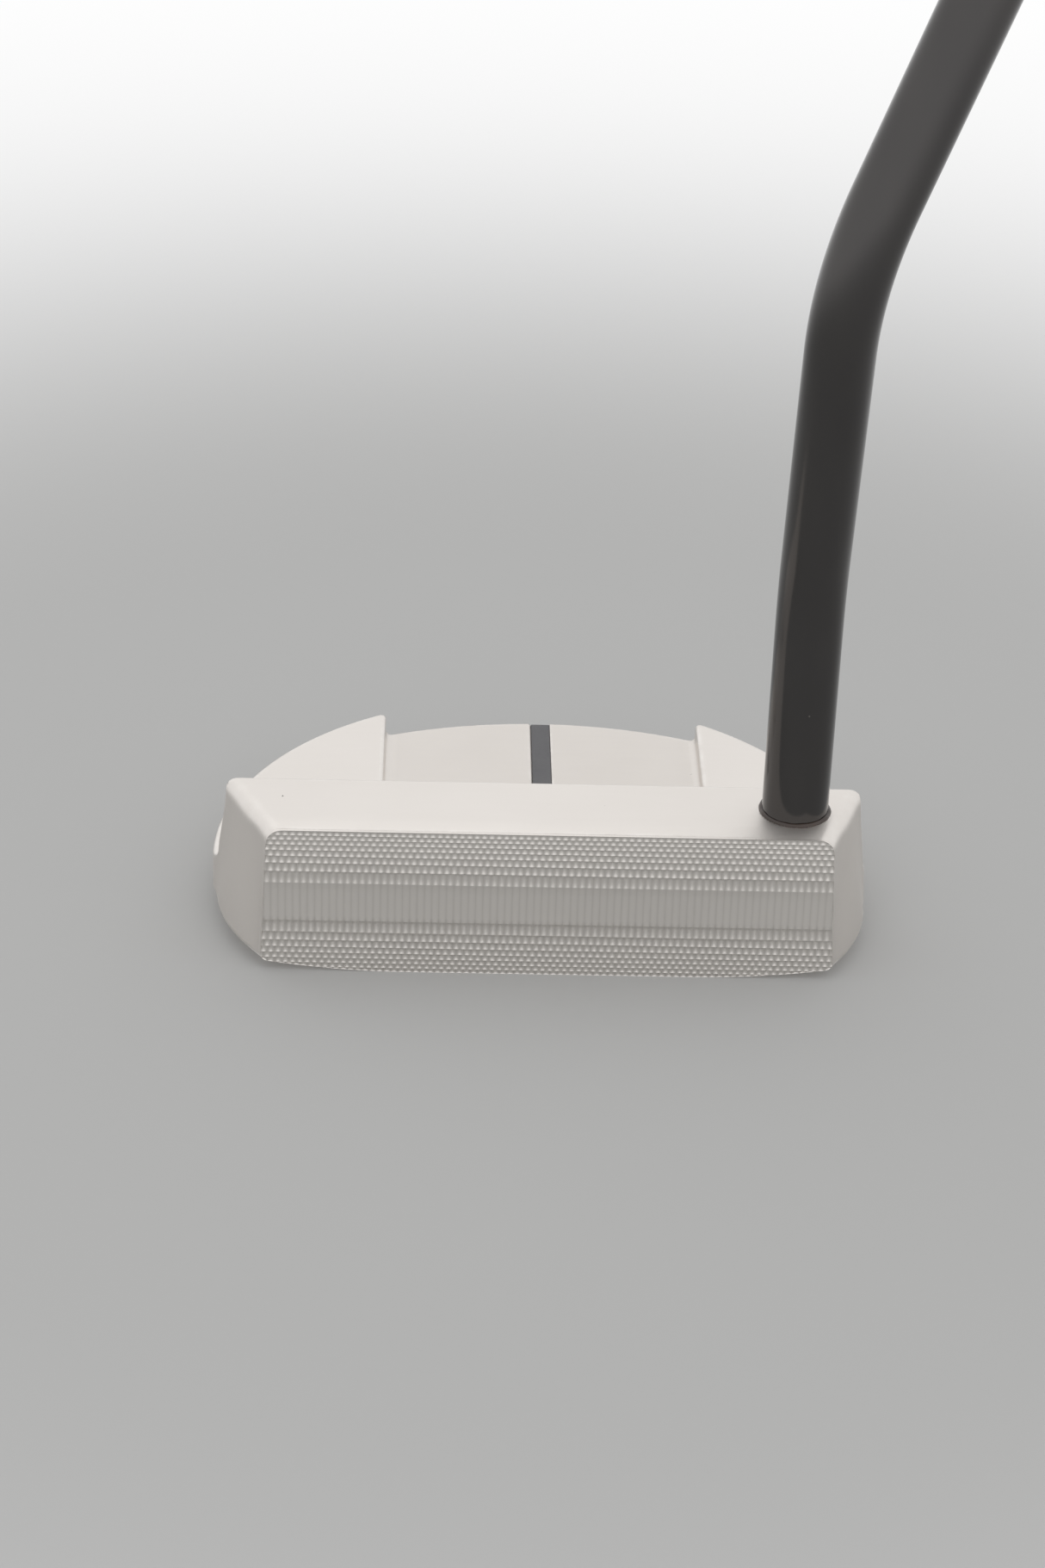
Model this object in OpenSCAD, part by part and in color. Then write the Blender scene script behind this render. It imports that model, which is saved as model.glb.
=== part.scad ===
// Heel-shafted putter with a milled winged mallet head, a double-bend steel shaft and a rubber grip.
// +X runs to the heel, the face looks along -Y, +Z is up. The origin is on the sole.

/* [Head bar] */
// Width of the striking face along its top edge
face_w = 79.4; // [72:0.1:90]
// Height of the bar that carries the face
bar_h = 22.6; // [20:0.1:28]
// Depth of the bar from the leading edge to its back wall
bar_depth = 15.7; // [15:0.1:20]
// Loft of the face in degrees
loft = 3; // [0:0.5:5]
// Angle that the toe wall opens away from the face
toe_flare = 26; // [15:1:32]
// Angle that the heel wall opens away from the face
heel_flare = 21; // [15:1:32]
// Draft of the toe and heel walls
end_draft = 3.5; // [0:0.5:6]
// How far the toe and heel walls swell out at the sole
end_swell = 1.9; // [1:0.1:3]
// Radius of that swell, seen from above
end_swell_r = 20; // [16:1:30]
// Flat height left above the swell, under the top edge
end_plain = 3; // [2:0.5:6]

/* [Rear body] */
// Radius of the round rear body
back_r = 47.4; // [44:0.1:56]
// Centre of the round rear body, towards the heel
back_x = -1; // [-2:0.1:2]
// Centre of the round rear body, behind the leading edge
back_y = 19; // [14:0.1:22]
// Height of the wings above the ground
wing_h = 9; // [8:0.1:12]
// Width of the channel between the wings
channel_w = 48.2; // [40:0.1:52]
// Depth of the channel floor below the wings
channel_drop = 2.2; // [1:0.1:3]
// Depth of the head along its centre line
head_depth = 61.9; // [58:0.1:66]
// Radius of the channel's trailing edge
tail_r = 63.4; // [50:0.1:90]

/* [Sole] */
// Width of the flat in the middle of the sole
sole_flat_w = 40; // [30:1:46]
// Radius that the sole curves up with towards toe and heel
camber_r = 135; // [100:1:220]
// Depth of the flat in the middle of the sole
sole_flat_depth = 46; // [40:1:50]
// Radius that the sole curves up with towards the tail
tail_relief_r = 90; // [60:1:140]

/* [Sight line] */
// Width of the painted line
sight_w = 2.9; // [1.5:0.05:5]
// Depth of the groove that holds the paint
sight_depth = 0.5; // [0.3:0.05:1]
// How far the paint stays below the channel floor
sight_recess = 0.1; // [0.05:0.01:0.2]

/* [Sole weights] */
// Diameter of a weight's flange
weight_d = 13; // [11:0.1:14]
// Thickness of a weight's flange
weight_flange = 1.8; // [1.4:0.1:2.2]
// Diameter of a weight's threaded boss
weight_boss_d = 9.8; // [8:0.1:10.2]
// Distance of the weights behind the leading edge
weight_y = 34; // [30:0.5:38]
// Distance of a weight's axis from the channel wall
weight_inset = 8.4; // [7.5:0.1:10]
// Metal left above a weight's pocket
weight_skin = 1.8; // [1:0.1:2.2]
// Width across the flats of the drive socket
socket_af = 4; // [3:0.1:5]
// Depth of the drive socket
socket_depth = 1.5; // [1:0.1:2.5]
// Cord diameter of the seal ring under a weight's flange
seal_cord = 0.9; // [0.7:0.05:1.1]

/* [Shaft] */
// Outside diameter of the shaft tip
tip_d = 9.4; // [8.6:0.1:10.2]
// Outside diameter of the shaft butt
butt_d = 14.7; // [13.5:0.1:15.5]
// Wall of the shaft tube
shaft_wall = 0.9; // [0.6:0.05:1.2]
// Shaft axis from the face centre towards the heel
shaft_x = 34.7; // [30:0.1:36]
// Shaft axis behind the leading edge
shaft_y = 9.2; // [8.5:0.1:9.8]
// Depth of the shaft bore in the bar
bore_depth = 16; // [12:0.1:18]
// Height of the lower bend above the ground
low_bend_z = 57; // [46:0.5:62]
// Height of the upper bend above the ground
high_bend_z = 107.5; // [95:0.5:125]
// How far the two bends carry the shaft forward
offset_y = 12.6; // [6:0.1:16]
// Lie of the upper shaft above the ground in degrees
lie = 70; // [66:0.5:76]
// Radius of the lower bend
low_bend_r = 50; // [30:1:70]
// Radius of the upper bend
high_bend_r = 54; // [30:1:60]
// Length of the club along the upper shaft, down to the ground
club_len = 864; // [820:1:920]
// Plain length between the upper bend and the first step
plain_len = 170; // [120:1:200]
// Number of steps between tip and butt diameter
step_count = 12; // [6:1:14]
// Length of one step
step_len = 24; // [18:0.5:26]

/* [Bond] */
// Thickness of the adhesive between shaft and bore
bond_t = 0.12; // [0.08:0.01:0.2]
// Width of the adhesive bead round the shaft foot
bead_w = 0.55; // [0.3:0.05:1]
// Length of the plug that closes the shaft tip
plug_len = 14; // [8:0.5:20]
// Thickness of the plug's collar
plug_collar = 1; // [0.6:0.1:1.5]

/* [Grip] */
// Length of the grip
grip_len = 267; // [240:1:285]
// Diameter of the grip at its lower end
grip_low_d = 20; // [18.5:0.1:22]
// Diameter of the grip at its butt
grip_butt_d = 26; // [24:0.1:30]
// Distance of the thumb flat from the shaft axis
grip_flat = 9.2; // [8.8:0.1:10]
// How far the palm swell stands to the rear
swell_shift = 4; // [2:0.1:6]
// Diameter of the palm swell
swell_d = 23; // [21:0.1:25]
// Length of the palm swell
swell_len = 150; // [120:1:180]
// Thickness of the tape under the grip
tape_t = 0.25; // [0.15:0.01:0.5]
// Diameter of the cap in the grip's butt
cap_d = 17.5; // [16.5:0.1:19]
// Thickness of the cap
cap_t = 3; // [2:0.1:5]
// Diameter of the vent hole in the cap
vent_d = 2; // [1:0.1:3]

/* [Clearances] */
// Gap between bonded or taped pieces
bond_gap = 0.02; // [0.01:0.005:0.04]
// Radial gap between a weight's boss and its hole
thread_gap = 0.05; // [0.02:0.01:0.1]
// Gap round and above the pieces of a weight pocket
pocket_gap = 0.3; // [0.2:0.05:0.4]
// Gap between a seal ring and the faces above and below it
seal_gap = 0.05; // [0.02:0.01:0.1]

/* [Hidden] */
$fn = 96;

// The part stands on the sole, with its origin this far behind the leading edge
rest_y = sole_flat_depth / 2;
// Reach of a cutting block, past every face of the head
reach = 4 * max(face_w, back_r);

face_top_y = bar_h * tan(loft);
swell_tilt = atan(end_swell / (bar_h - end_plain));
channel_z = wing_h - channel_drop;
tail_y = head_depth - tail_r;

function arc_rise(r, run) = run <= 0 ? 0 : r - sqrt(r * r - run * run);

weight_x = channel_w / 2 + weight_inset;
weight_pocket_r = weight_d / 2 + pocket_gap;
weight_z = arc_rise(camber_r, weight_x + weight_pocket_r - sole_flat_w / 2) + pocket_gap / 2;
ledge_z = weight_z + weight_flange + seal_cord + 2 * seal_gap;
pocket_z = wing_h - weight_skin;
boss_top_z = pocket_z - pocket_gap;
boss_hole_r = weight_boss_d / 2 + thread_gap;

tip_r = tip_d / 2;
bore_r = tip_r + bond_t + 2 * bond_gap;
bore_z = bar_h - bore_depth;
tip_z = bore_z + plug_collar + 2 * bond_gap;

// The middle of the shaft leans forward between the two bends
lean = atan(offset_y / (high_bend_z - low_bend_z));
low_tangent = low_bend_r * tan(lean / 2);
turn = acos(sin(lie) * cos(lean));
turn_way = atan2(sin(lie) * sin(lean), cos(lie));
high_tangent = high_bend_r * tan(turn / 2);
middle_len = (high_bend_z - low_bend_z) / cos(lean) - low_tangent - high_tangent;
upper_len = club_len - high_bend_z / sin(lie) - high_tangent - cap_t;
step_rise = (butt_d - tip_d) / step_count;
// The tube swells by this much where it is bent, and its straights lap into the bends
bend_swell = 0.03;
bend_lap = 0.6;

grip_z = upper_len - grip_len;
tape_r = butt_d / 2 + bond_gap;
grip_bore_r = tape_r + tape_t + bond_gap;
grip_mouth = 10;
grip_edge = 2;
tape_margin = 6;

// Puts a shape that is measured from the leading edge into the part's frame
module placed() {
    translate([0, -rest_y, 0])
        children();
}

// Frame of the lower shaft, at the ground
module at_foot() {
    placed()
        translate([shaft_x, shaft_y, 0])
            children();
}

// Frame of the middle shaft, with its origin at the lower bend's corner
module at_middle() {
    at_foot()
        translate([0, 0, low_bend_z])
            rotate([lean, 0, 0])
                children();
}

// Frame of the upper shaft, with its origin at the end of the upper bend
module at_upper() {
    at_foot()
        translate([0, -offset_y, high_bend_z])
            rotate([0, 90 - lie, 0])
                translate([0, 0, high_tangent])
                    children();
}

// A straight length of shaft tube, sunk a little into the bend at each end that has one
module straight_tube(len, below, above) {
    translate([0, 0, -below * bend_lap])
        difference() {
            cylinder(r = tip_r, h = len + (below + above) * bend_lap);
            translate([0, 0, -bend_lap])
                cylinder(r = tip_r - shaft_wall, h = len + 4 * bend_lap);
        }
}

// A bent length of shaft tube that starts along +Z and turns towards +X
module bent_tube(bend_r, angle) {
    translate([bend_r, 0, 0])
        rotate([90, 0, 180])
            rotate_extrude(angle = angle)
                translate([bend_r, 0])
                    difference() {
                        circle(tip_r + bend_swell);
                        circle(tip_r - shaft_wall - bend_swell);
                    }
}

// Everything on the inner side of a toe or heel wall, which swells out towards the sole
module inside_end(side, flare) {
    half_wall = (bar_depth - face_top_y) / cos(flare) / 2;
    mirror([side < 0 ? 1 : 0, 0, 0])
        translate([face_w / 2, face_top_y, bar_h])
            rotate([0, -end_draft, -flare]) {
                translate([-reach, -reach / 2, -reach / 2])
                    cube(reach);
                translate([0, half_wall, -end_plain])
                    rotate([0, -swell_tilt, 0])
                        translate([-end_swell_r, 0, -reach / 2])
                            cylinder(r = end_swell_r, h = reach);
            }
}

// The sole's section from toe to heel, carried from front to back
module camber_block() {
    half_flat = sole_flat_w / 2;
    translate([0, reach / 2, 0])
        rotate([90, 0, 0])
            linear_extrude(reach) {
                translate([-half_flat, 0])
                    square([sole_flat_w, bar_h]);
                for (side = [0, 1])
                    mirror([side, 0])
                        intersection() {
                            translate([half_flat, camber_r])
                                circle(camber_r);
                            translate([half_flat, 0])
                                square([reach / 2, bar_h]);
                        }
            }
}

// The sole's section from front to back with the lofted face, carried from toe to heel
module relief_block() {
    translate([-reach / 2, 0, 0])
        rotate([90, 0, 90])
            linear_extrude(reach) {
                polygon([[0, 0], [sole_flat_depth, 0], [sole_flat_depth, bar_h], [face_top_y, bar_h]]);
                intersection() {
                    translate([sole_flat_depth, tail_relief_r])
                        circle(tail_relief_r);
                    translate([sole_flat_depth, 0])
                        square([reach / 2, bar_h]);
                }
            }
}

module head_blank() {
    intersection() {
        union() {
            translate([-reach / 2, 0, 0])
                cube([reach, bar_depth, bar_h]);
            translate([back_x, back_y, 0])
                cylinder(r = back_r, h = wing_h);
        }
        inside_end(1, heel_flare);
        inside_end(-1, toe_flare);
        camber_block();
        relief_block();
    }
}

// The open channel behind the bar, trimmed to a curved trailing edge
module channel_cut() {
    translate([-channel_w / 2, bar_depth, channel_z])
        cube([channel_w, reach, bar_h]);
    difference() {
        translate([-channel_w / 2, bar_depth, -bar_h])
            cube([channel_w, reach, 2 * bar_h]);
        translate([0, tail_y, -2 * bar_h])
            cylinder(r = tail_r, h = 4 * bar_h);
    }
}

module sight_groove(top_z, bottom_z) {
    intersection() {
        translate([-sight_w / 2, bar_depth, bottom_z])
            cube([sight_w, reach, top_z - bottom_z]);
        translate([0, tail_y, 0])
            cylinder(r = tail_r, h = bar_h);
    }
}

module weight_pocket(side) {
    translate([side * weight_x, weight_y, 0]) {
        cylinder(r = weight_pocket_r, h = ledge_z);
        cylinder(r = boss_hole_r, h = pocket_z);
    }
}

module head() {
    color("#d9d3cb")
        placed()
            difference() {
                head_blank();
                channel_cut();
                sight_groove(channel_z + bar_h, channel_z - sight_depth);
                for (side = [-1, 1])
                    weight_pocket(side);
                translate([shaft_x, shaft_y, bore_z])
                    cylinder(r = bore_r, h = 2 * bore_depth);
            }
}

module sight_line() {
    color("#5f5f62")
        placed()
            sight_groove(channel_z - sight_recess, channel_z - sight_depth);
}

module sole_weight(side) {
    color("#8d8f92")
        placed()
            translate([side * weight_x, weight_y, 0])
                difference() {
                    union() {
                        translate([0, 0, weight_z])
                            cylinder(d = weight_d, h = weight_flange);
                        translate([0, 0, weight_z])
                            cylinder(d = weight_boss_d, h = boss_top_z - weight_z);
                    }
                    translate([0, 0, weight_z - socket_depth])
                        cylinder(d = socket_af / cos(30), h = 2 * socket_depth, $fn = 6);
                }
}

module toe_weight() {
    sole_weight(-1);
}

module heel_weight() {
    sole_weight(1);
}

module weight_seal(side) {
    color("#1c1c1e")
        placed()
            translate([side * weight_x, weight_y, weight_z + weight_flange + seal_gap + seal_cord / 2])
                rotate_extrude()
                    translate([boss_hole_r + seal_cord / 2, 0])
                        circle(d = seal_cord);
}

module toe_weight_seal() {
    weight_seal(-1);
}

module heel_weight_seal() {
    weight_seal(1);
}

// The stepped upper shaft, from the upper bend to the butt
module upper_tube() {
    steps = [
        for (i = [0 : step_count])
            each [
                [tip_r + i * step_rise / 2, i == 0 ? -bend_lap : plain_len + (i - 1) * step_len],
                [tip_r + i * step_rise / 2, i == step_count ? upper_len : plain_len + i * step_len]
            ]
    ];
    bore = [for (i = [len(steps) - 1 : -1 : 0]) [steps[i].x - shaft_wall, steps[i].y]];
    rotate_extrude()
        polygon(concat(steps, bore));
}

module shaft() {
    color("#16181a") {
        at_foot()
            translate([0, 0, tip_z])
                straight_tube(low_bend_z - low_tangent - tip_z, 0, 1);
        at_foot()
            translate([0, 0, low_bend_z - low_tangent])
                rotate([0, 0, -90])
                    bent_tube(low_bend_r, lean);
        at_middle()
            translate([0, 0, low_tangent])
                straight_tube(middle_len, 1, 1);
        at_middle()
            translate([0, 0, low_tangent + middle_len])
                rotate([0, 0, turn_way])
                    bent_tube(high_bend_r, turn);
        at_upper()
            upper_tube();
    }
}

module shaft_bond() {
    color("#2a2320")
        at_foot()
            difference() {
                union() {
                    translate([0, 0, bore_z + plug_collar + bond_gap])
                        cylinder(r = bore_r - bond_gap, h = bore_depth - plug_collar - bond_gap);
                    translate([0, 0, bar_h])
                        rotate_extrude()
                            intersection() {
                                square(tip_r + bond_gap + bead_w);
                                union() {
                                    translate([tip_r + bond_gap, 0])
                                        circle(bead_w);
                                    square([tip_r + bond_gap, bead_w]);
                                }
                            }
                }
                cylinder(r = tip_r + bond_gap, h = 2 * bar_h);
            }
}

module tip_plug() {
    color("#c9c4b4")
        at_foot() {
            translate([0, 0, bore_z])
                cylinder(r = tip_r, h = plug_collar);
            translate([0, 0, bore_z])
                cylinder(r = tip_r - shaft_wall - bond_gap, h = plug_collar + plug_len);
        }
}

module grip_tape() {
    color("#d8d2bc")
        at_upper()
            translate([0, 0, grip_z + tape_margin])
                difference() {
                    cylinder(r = tape_r + tape_t, h = grip_len - 2 * tape_margin);
                    translate([0, 0, -tape_margin])
                        cylinder(r = tape_r, h = grip_len);
                }
}

// The grip's tapered body, from its mouth up
module grip_body() {
    top = grip_len + cap_t;
    rotate_extrude()
        polygon([
            [0, 0],
            [grip_low_d / 2 - grip_edge / 2, 0],
            [grip_low_d / 2, grip_mouth],
            [grip_butt_d / 2, top - grip_edge],
            [grip_butt_d / 2 - grip_edge, top],
            [0, top]
        ]);
}

// The swell that fills the palm, leaning to the rear of the grip
module palm_swell() {
    top = grip_len + cap_t;
    translate([swell_shift, 0, top - swell_len])
        rotate_extrude()
            polygon([
                [0, 0],
                [grip_low_d / 2 - grip_edge, 0],
                [swell_d / 2, swell_len * 0.6],
                [swell_d / 2, swell_len - grip_edge],
                [swell_d / 2 - grip_edge, swell_len],
                [0, swell_len]
            ]);
}

module grip() {
    color("#232326")
        at_upper()
            translate([0, 0, grip_z])
                difference() {
                    union() {
                        grip_body();
                        palm_swell();
                    }
                    translate([-grip_flat - reach, -reach / 2, -reach])
                        cube([reach, reach, 2 * reach + grip_len]);
                    translate([0, 0, -grip_mouth])
                        cylinder(r = grip_bore_r, h = 2 * grip_mouth + grip_len);
                    translate([0, 0, grip_len])
                        cylinder(d = cap_d + 2 * bond_gap, h = 2 * cap_t);
                }
}

module grip_cap() {
    color("#2c2c30")
        at_upper()
            translate([0, 0, upper_len + bond_gap])
                difference() {
                    cylinder(d = cap_d, h = cap_t - bond_gap);
                    translate([0, 0, -cap_t])
                        cylinder(d = vent_d, h = 3 * cap_t);
                }
}

head();
sight_line();
toe_weight();
heel_weight();
toe_weight_seal();
heel_weight_seal();
shaft();
shaft_bond();
tip_plug();
grip_tape();
grip();
grip_cap();
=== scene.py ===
import math
from functools import partial
import bmesh
import bpy
import numpy as np
from mathutils import Matrix, Vector


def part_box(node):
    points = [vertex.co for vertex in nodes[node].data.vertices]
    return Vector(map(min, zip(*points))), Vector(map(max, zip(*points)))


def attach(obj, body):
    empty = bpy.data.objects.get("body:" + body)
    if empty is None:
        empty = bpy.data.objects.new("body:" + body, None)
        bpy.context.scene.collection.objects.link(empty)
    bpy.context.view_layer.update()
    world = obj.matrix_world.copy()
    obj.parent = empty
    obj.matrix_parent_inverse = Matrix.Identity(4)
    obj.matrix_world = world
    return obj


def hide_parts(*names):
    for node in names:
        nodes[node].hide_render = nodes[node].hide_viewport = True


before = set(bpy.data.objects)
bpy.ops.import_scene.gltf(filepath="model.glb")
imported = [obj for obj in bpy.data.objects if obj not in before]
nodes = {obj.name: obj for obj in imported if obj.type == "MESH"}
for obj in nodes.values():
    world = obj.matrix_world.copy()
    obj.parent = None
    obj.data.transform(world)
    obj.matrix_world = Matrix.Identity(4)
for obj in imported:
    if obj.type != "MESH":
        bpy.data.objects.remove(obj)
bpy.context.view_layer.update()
mm = 0.001


def boxOf(name):  # a node's corners in millimetres
    low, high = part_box(name)
    return np.array(low) / mm, np.array(high) / mm


headLow, headHigh = boxOf("head")
frontY = headLow[1]  # the leading edge, from which the head is measured
print("frame loaded with", len(nodes), "nodes")


# node helpers, used by materials and by geometry trees

socketKinds = {float: "NodeSocketFloat", int: "NodeSocketInt", tuple: "NodeSocketVector"}


def addNode(tree, kind, inputs=None, **settings):
    node = tree.nodes.new(kind)
    for key, value in settings.items():
        setattr(node, key, value)
    for key, value in (inputs or {}).items():
        if isinstance(value, bpy.types.NodeSocket):
            tree.links.new(value, node.inputs[key])
        else:
            node.inputs[key].default_value = value
    return node


def calc(tree, operation, *values):
    return addNode(tree, "ShaderNodeMath", dict(enumerate(values)), operation=operation).outputs[0]


def pick(tree, share, first, second):  # the first value at share 0, the second at share 1
    return addNode(tree, "ShaderNodeMix", {0: share, 2: first, 3: second}).outputs[0]


def mixColour(tree, share, first, second):
    first, second = [(*tone, 1) if isinstance(tone, tuple) else tone for tone in (first, second)]
    return addNode(tree, "ShaderNodeMix", {0: share, 6: first, 7: second}, data_type="RGBA").outputs[2]


def spread(tree, value, low, high):  # a 0 to 1 value stretched to a range
    return addNode(tree, "ShaderNodeMapRange", {"Value": value, "To Min": low, "To Max": high}).outputs[0]


def lengthOf(tree, vector):
    return addNode(tree, "ShaderNodeVectorMath", {0: vector}, operation="LENGTH").outputs["Value"]


def objectPlace(tree):
    return addNode(tree, "ShaderNodeTexCoord").outputs["Object"]


def noiseAt(tree, place, scale, detail):
    return addNode(tree, "ShaderNodeTexNoise", {"Vector": place, "Scale": scale, "Detail": detail}).outputs


def marked(tree, name):  # a mask that the mesh holds
    return addNode(tree, "ShaderNodeAttribute", attribute_name=name).outputs["Fac"]


def label(key):  # bandHalf is shown as Band half
    return "".join(" " + letter if letter.isupper() else letter for letter in key).capitalize()


def newTree(kind, name, inputs, output, outputKind):  # a tree with named inputs and one output
    tree = bpy.data.node_groups.new(name, kind)
    for key, value in inputs.items():
        socketKind = socketKinds.get(type(value), value)
        socket = tree.interface.new_socket(name=label(key), in_out="INPUT", socket_type=socketKind)
        if socketKind != value:  # a bare kind has no value to start with
            socket.default_value = value
    tree.interface.new_socket(name=output, in_out="OUTPUT", socket_type=outputKind)
    given = tree.nodes.new("NodeGroupInput").outputs
    return tree, given, tree.nodes.new("NodeGroupOutput").inputs[0]


def newGroup(name, output, **inputs):
    return newTree("ShaderNodeTree", name, inputs, output, "NodeSocketFloat")


def useGroup(tree, group, **values):
    inputs = {label(key): value for key, value in values.items()}
    return addNode(tree, "ShaderNodeGroup", inputs, node_tree=group).outputs[0]


# shared surface effects

def makeGrain():  # soft or stretched noise, 0 to 1
    group, given, result = newGroup("surfaceGrain", "Value",
                                    stretch=(1.0, 1.0, 1.0), scale=500.0, detail=3.0)
    place = addNode(group, "ShaderNodeMapping", {"Vector": objectPlace(group), "Scale": given["Stretch"]})
    noise = noiseAt(group, place.outputs[0], given["Scale"], given["Detail"])
    group.links.new(noise["Fac"], result)
    return group


def makeNicks():  # a few small marks, 1 in the mark
    group, given, result = newGroup("smallNicks", "Mask", scale=90.0, size=0.05, share=0.12,
                                    waver=0.0012, waverScale=1800.0, waverDetail=2.0)
    place = objectPlace(group)
    bent = noiseAt(group, place, given["Waver scale"], given["Waver detail"])["Color"]
    warped = addNode(group, "ShaderNodeMix", {0: given["Waver"], 4: place, 5: bent},
                     data_type="VECTOR").outputs[1]
    cells = addNode(group, "ShaderNodeTexVoronoi", {"Vector": warped, "Scale": given["Scale"]}).outputs
    drawn = addNode(group, "ShaderNodeSeparateColor", {0: cells["Color"]}).outputs  # chance values per cell
    near = calc(group, "LESS_THAN", cells["Distance"], calc(group, "MULTIPLY", given["Size"], drawn[0]))
    rare = calc(group, "LESS_THAN", drawn[1], given["Share"])
    group.links.new(calc(group, "MULTIPLY", near, rare), result)
    return group


def makeRub():  # wear along the edges that the mesh marks in its edgeMask attribute
    group, given, result = newGroup("edgeRub", "Mask", scale=300.0, amount=0.6, detail=4.0,
                                    bareFrom=0.35, fullFrom=0.7)
    noise = noiseAt(group, objectPlace(group), given["Scale"], given["Detail"])["Fac"]
    uneven = addNode(group, "ShaderNodeMapRange", {
        "Value": noise, "From Min": given["Bare from"], "From Max": given["Full from"]}).outputs[0]
    rubbed = calc(group, "MULTIPLY", marked(group, "edgeMask"), uneven)
    group.links.new(calc(group, "MULTIPLY", rubbed, given["Amount"]), result)
    return group


grain = makeGrain()
nicks = makeNicks()
rub = makeRub()


# finishes

def newMaterial(name, colour, roughness, metallic=0.0, specular=0.5):
    material = bpy.data.materials.new(name)
    material.use_nodes = True
    sockets = material.node_tree.nodes["Principled BSDF"].inputs
    sockets["Base Color"].default_value = (*colour, 1)
    sockets["Roughness"].default_value = roughness
    sockets["Metallic"].default_value = metallic
    sockets["Specular IOR Level"].default_value = specular
    return material, material.node_tree, sockets


def applySurface(tree, sockets, colour, dull, height, bump):  # what every finish drives
    tree.links.new(colour, sockets["Base Color"])
    tree.links.new(dull, sockets["Roughness"])
    raised = addNode(tree, "ShaderNodeBump", {"Height": height, "Distance": bump[0], "Strength": bump[1]})
    tree.links.new(raised.outputs[0], sockets["Normal"])


nickelFinish = dict(
    plain=(0.76, 0.725, 0.69), deep=(0.705, 0.67, 0.635), rubbed=(0.86, 0.835, 0.805),
    # the channel tone and its spread are painted shade in the channel recess
    channelShade=(0.64, 0.605, 0.57), nick=(0.16, 0.15, 0.14), clouding=(0.0, 0.7), channelShadeSpread=(0.35, 0.8),
    roughness=(0.37, 0.45), streakRough=(0.0, 0.08), rubShine=0.12, streakHeight=0.4, bump=(0.00003, 0.35))


def makeNickel():  # bead-blasted satin nickel of the head
    form = nickelFinish
    material, tree, sockets = newMaterial("satinNickel", form["plain"], form["roughness"][0], 1.0)
    cloud = useGroup(tree, grain, scale=45.0, detail=4.0)
    streak = useGroup(tree, grain, stretch=(0.12, 1.0, 1.0), scale=900.0, detail=3.0)
    blast = useGroup(tree, grain, scale=5200.0, detail=2.0)
    worn = useGroup(tree, rub, scale=420.0, amount=0.55)
    marks = useGroup(tree, nicks, scale=150.0, size=0.04, share=0.95)
    colour = mixColour(tree, spread(tree, cloud, *form["clouding"]), form["plain"], form["deep"])
    # painted shade: the channel recess is darkened in colour
    low = calc(tree, "MULTIPLY", marked(tree, "channelShadeMask"), spread(tree, cloud, *form["channelShadeSpread"]))
    colour = mixColour(tree, low, colour, form["channelShade"])
    colour = mixColour(tree, worn, colour, form["rubbed"])
    colour = mixColour(tree, marks, colour, form["nick"])
    streaked = spread(tree, streak, *form["streakRough"])
    dull = calc(tree, "ADD", spread(tree, cloud, *form["roughness"]), streaked)
    dull = calc(tree, "SUBTRACT", dull, calc(tree, "MULTIPLY", worn, form["rubShine"]))
    height = calc(tree, "ADD", blast, calc(tree, "MULTIPLY", streak, form["streakHeight"]))
    applySurface(tree, sockets, colour, dull, calc(tree, "SUBTRACT", height, marks), form["bump"])
    return material


milledFinish = dict(
    # the darker seam tone is painted shade between the dishes
    plain=(0.77, 0.74, 0.705), deep=(0.71, 0.68, 0.645), seam=(0.5, 0.475, 0.445), clouding=(0.0, 0.6),
    dishShadeShare=(0.3, 1.1), roughness=(0.28, 0.34), fineRough=(0.0, 0.08), bump=(0.00002, 0.3))


def makeMilled():  # freshly cut nickel of the face
    form = milledFinish
    material, tree, sockets = newMaterial("milledNickel", form["plain"], form["roughness"][0], 1.0)
    cloud = useGroup(tree, grain, scale=60.0, detail=3.0)
    lines = useGroup(tree, grain, stretch=(1.0, 1.0, 0.04), scale=1700.0, detail=2.0)
    fine = useGroup(tree, grain, stretch=(6.0, 1.0, 0.2), scale=1500.0, detail=2.0)
    # painted shade: darker at the seams between dishes, and faintly along the band
    seam = calc(tree, "MULTIPLY", marked(tree, "dishShadeMask"), spread(tree, lines, *form["dishShadeShare"]))
    colour = mixColour(tree, spread(tree, cloud, *form["clouding"]), form["plain"], form["deep"])
    colour = mixColour(tree, seam, colour, form["seam"])
    dull = calc(tree, "ADD", spread(tree, lines, *form["roughness"]), spread(tree, fine, *form["fineRough"]))
    applySurface(tree, sockets, colour, dull, fine, form["bump"])
    return material


blackFinish = dict(plain=(0.072, 0.069, 0.07), smeared=(0.097, 0.093, 0.089), nick=(0.2, 0.19, 0.18),
                   smearing=(0.0, 0.8), roughness=(0.08, 0.22), bump=(0.00002, 0.25))


def makeBlackPlate():  # black chrome of the shaft
    form = blackFinish
    material, tree, sockets = newMaterial("blackPlate", form["plain"], form["roughness"][0], 1.0)
    smear = useGroup(tree, grain, stretch=(1.0, 1.0, 0.3), scale=120.0, detail=4.0)
    ripple = useGroup(tree, grain, stretch=(1.0, 1.0, 0.15), scale=700.0, detail=2.0)
    marks = useGroup(tree, nicks, scale=110.0, size=0.03, share=0.6)
    colour = mixColour(tree, spread(tree, smear, *form["smearing"]), form["plain"], form["smeared"])
    colour = mixColour(tree, marks, colour, form["nick"])
    applySurface(tree, sockets, colour, spread(tree, smear, *form["roughness"]), ripple, form["bump"])
    return material


turnedFinish = dict(light=(0.54, 0.54, 0.55), dark=(0.42, 0.42, 0.43), roughness=(0.2, 0.3),
                    ringRough=(0.0, 0.12), ringScale=900.0, ringWaver=0.6, bump=(0.00003, 0.4))


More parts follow.
